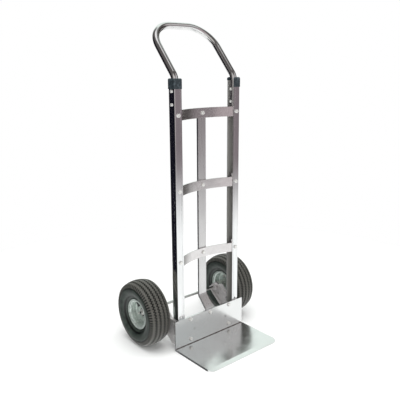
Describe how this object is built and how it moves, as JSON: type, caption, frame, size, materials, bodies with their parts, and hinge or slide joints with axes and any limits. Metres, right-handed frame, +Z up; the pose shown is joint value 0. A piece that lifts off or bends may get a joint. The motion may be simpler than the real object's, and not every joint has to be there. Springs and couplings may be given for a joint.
{
  "type": "hand truck",
  "caption": "Two-wheel aluminium hand truck: channel rails, bowed cross members, single loop handle, flat nose plate and free-turning pneumatic wheels.",
  "frame": {"origin": "on the floor, midway between the left and right tyres and midway between the nose plate front edge and the back of the tyres", "axes": "+Z up, nose plate towards -Y, operator stands behind at +Y, X across the truck along the axle"},
  "size_m": [0.5458, 0.4787, 1.2342],
  "materials": {
    "polished_extrusion": "polished",
    "handle_tube": "bright",
    "cast_band": "satin",
    "strap_aluminium": "satin",
    "polished_plate": "polished",
    "cast_bracket": "as cast",
    "weld_bead": "rippled",
    "cap_plastic": "satin",
    "tyre_rubber": "matte",
    "butyl_rubber": "satin",
    "painted_rim": "gloss",
    "hub_steel": "turned",
    "bearing_steel": "ground",
    "zinc_steel": "zinc plated",
    "axle_steel": "drawn"
  },
  "bodies": {
    "frame": {"axle": "axle_steel", "axle_bracket_left": "cast_bracket", "axle_bracket_right": "cast_bracket", "axle_spacers": "zinc_steel", "axle_washers": "zinc_steel", "base_cross_member": "strap_aluminium", "bearing_inner_races_left": "bearing_steel", "bearing_inner_races_right": "bearing_steel", "bracket_bolts": "zinc_steel", "bracket_nuts": "zinc_steel", "center_strap": "strap_aluminium", "cotter_pins": "zinc_steel", "cross_member_bolts": "zinc_steel", "cross_member_lower": "cast_band", "cross_member_middle": "cast_band", "cross_member_nuts": "zinc_steel", "cross_member_upper": "cast_band", "handle_bolts": "zinc_steel", "handle_loop": "handle_tube", "handle_nuts": "zinc_steel", "heel_bolts": "zinc_steel", "heel_nuts": "zinc_steel", "heel_plate": "polished_plate", "heel_weld": "weld_bead", "rail_cap_left": "cap_plastic", "rail_cap_right": "cap_plastic", "rail_left": "polished_extrusion", "rail_right": "polished_extrusion", "strap_bolts": "zinc_steel", "strap_nuts": "zinc_steel", "toe_plate": "polished_plate"},
    "wheel_left": {"tyre_left": "tyre_rubber", "inner_tube_left": "butyl_rubber", "valve_stem_left": "butyl_rubber", "rim_outer_left": "painted_rim", "rim_inner_left": "painted_rim", "rim_bolts_left": "zinc_steel", "rim_nuts_left": "zinc_steel", "hub_left": "hub_steel", "bearing_outer_races_left": "bearing_steel", "bearing_balls_left": "bearing_steel"},
    "wheel_right": {"tyre_right": "tyre_rubber", "inner_tube_right": "butyl_rubber", "valve_stem_right": "butyl_rubber", "rim_outer_right": "painted_rim", "rim_inner_right": "painted_rim", "rim_bolts_right": "zinc_steel", "rim_nuts_right": "zinc_steel", "hub_right": "hub_steel", "bearing_outer_races_right": "bearing_steel", "bearing_balls_right": "bearing_steel"}
  },
  "joints": [
    {"name": "left_wheel_spin", "type": "hinge", "parent": "frame", "child": "wheel_left", "pos_m": [-0.2258, 0.10865, 0.1307], "axis": [1, 0, 0], "continuous": true},
    {"name": "right_wheel_spin", "type": "hinge", "parent": "frame", "child": "wheel_right", "pos_m": [0.2258, 0.10865, 0.1307], "axis": [1, 0, 0], "continuous": true}
  ]
}
